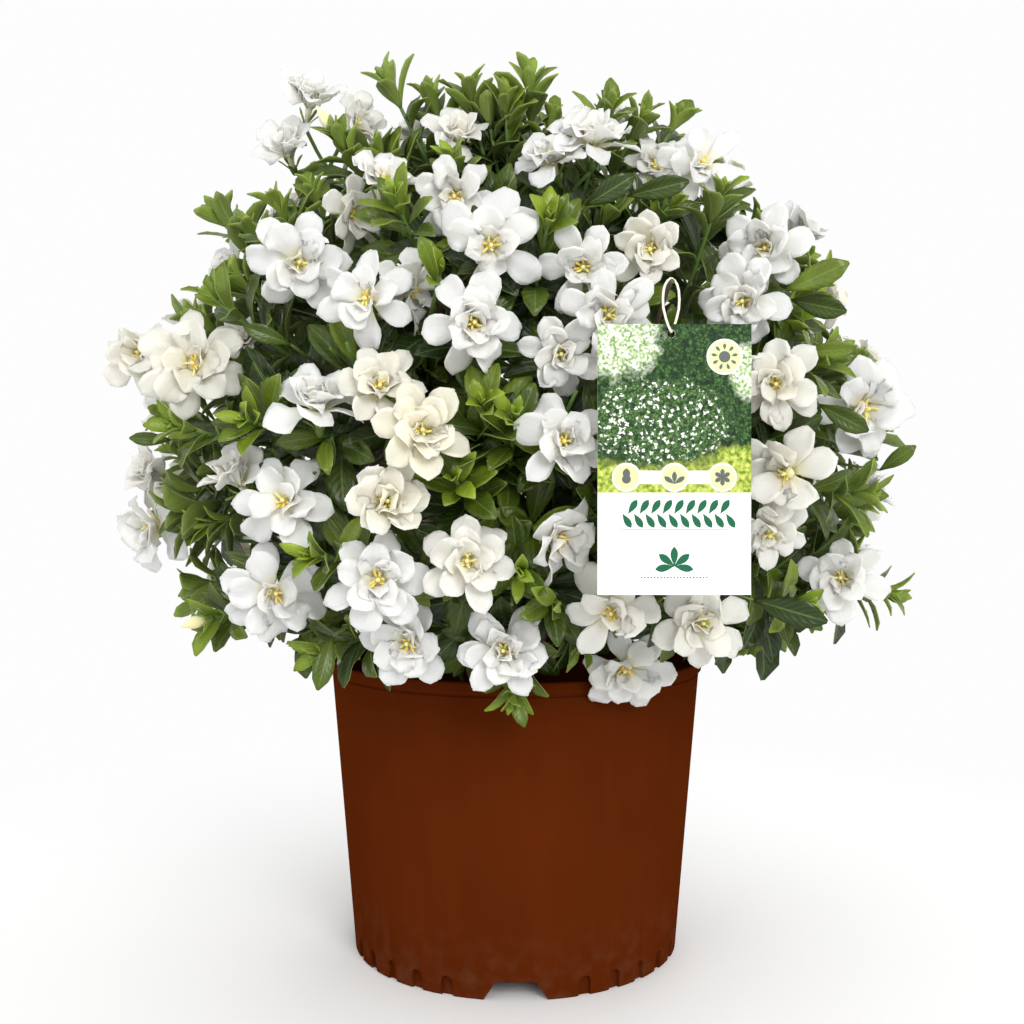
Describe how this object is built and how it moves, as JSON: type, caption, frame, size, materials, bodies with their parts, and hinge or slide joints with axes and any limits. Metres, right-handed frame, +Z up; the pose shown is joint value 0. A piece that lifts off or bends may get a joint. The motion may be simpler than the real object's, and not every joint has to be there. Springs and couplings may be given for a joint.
{
  "type": "potted gardenia",
  "caption": "Rounded gardenia shrub in full bloom, with glossy leaves and white double blooms, standing in a tapered plastic nursery pot with a hang tag on a string loop.",
  "frame": {"origin": "on the ground at the axis of the pot, under the middle of its foot", "axes": "+Z up along the axis of the pot; -Y is the front, where the tag hangs; +X is to the right as seen from the front"},
  "size_m": [0.5716, 0.591, 0.664],
  "materials": {
    "pot": "satin reddish-brown plastic",
    "soil": "dark bark mulch and potting soil",
    "bark": "rough grey-brown bark",
    "foliage": "glossy green leaves on brown and green twigs",
    "petals": "soft white petals, some of them cream",
    "card": null,
    "string": "thin cream string"
  },
  "bodies": {
    "root": {"pot": "pot", "soil": "soil", "trunk": "bark", "branch_low_1": "foliage", "branch_low_2": "foliage", "branch_low_3": "foliage", "branch_low_4": "foliage", "branch_low_5": "foliage", "branch_middle_1": "foliage", "branch_middle_2": "foliage", "branch_middle_3": "foliage", "branch_middle_4": "foliage", "branch_top_1": "foliage", "branch_top_2": "foliage", "branch_top_3": "foliage", "bloom_spray_01": "petals", "bloom_spray_02": "petals", "bloom_spray_03": "petals", "bloom_spray_04": "petals", "bloom_spray_05": "petals", "bloom_spray_06": "petals", "bloom_spray_07": "petals", "bloom_spray_08": "petals", "bloom_spray_09": "petals", "bloom_spray_10": "petals", "bloom_spray_11": "petals", "bloom_spray_12": "petals", "bloom_spray_13": "petals", "bloom_spray_14": "petals", "bloom_spray_15": "petals", "bloom_spray_16": "petals", "bloom_spray_17": "petals", "bloom_spray_18": "petals", "bloom_spray_19": "petals", "bloom_spray_20": "petals", "bloom_spray_21": "petals", "bloom_spray_22": "petals", "bloom_spray_23": "petals", "bloom_spray_24": "petals", "bloom_spray_25": "petals", "bloom_spray_26": "petals", "bloom_spray_27": "petals", "bloom_spray_28": "petals", "bloom_spray_29": "petals", "bloom_spray_30": "petals", "bloom_spray_31": "petals", "bloom_spray_32": "petals", "bloom_spray_33": "petals", "bloom_spray_34": "petals", "bloom_spray_35": "petals", "bloom_spray_36": "petals", "bloom_spray_37": "petals", "bloom_spray_38": "petals", "bloom_spray_39": "petals", "bloom_spray_40": "petals", "bloom_spray_41": "petals", "bloom_spray_42": "petals", "bloom_spray_43": "petals", "tag": "card", "tag_loop": "string"}
  },
  "joints": []
}
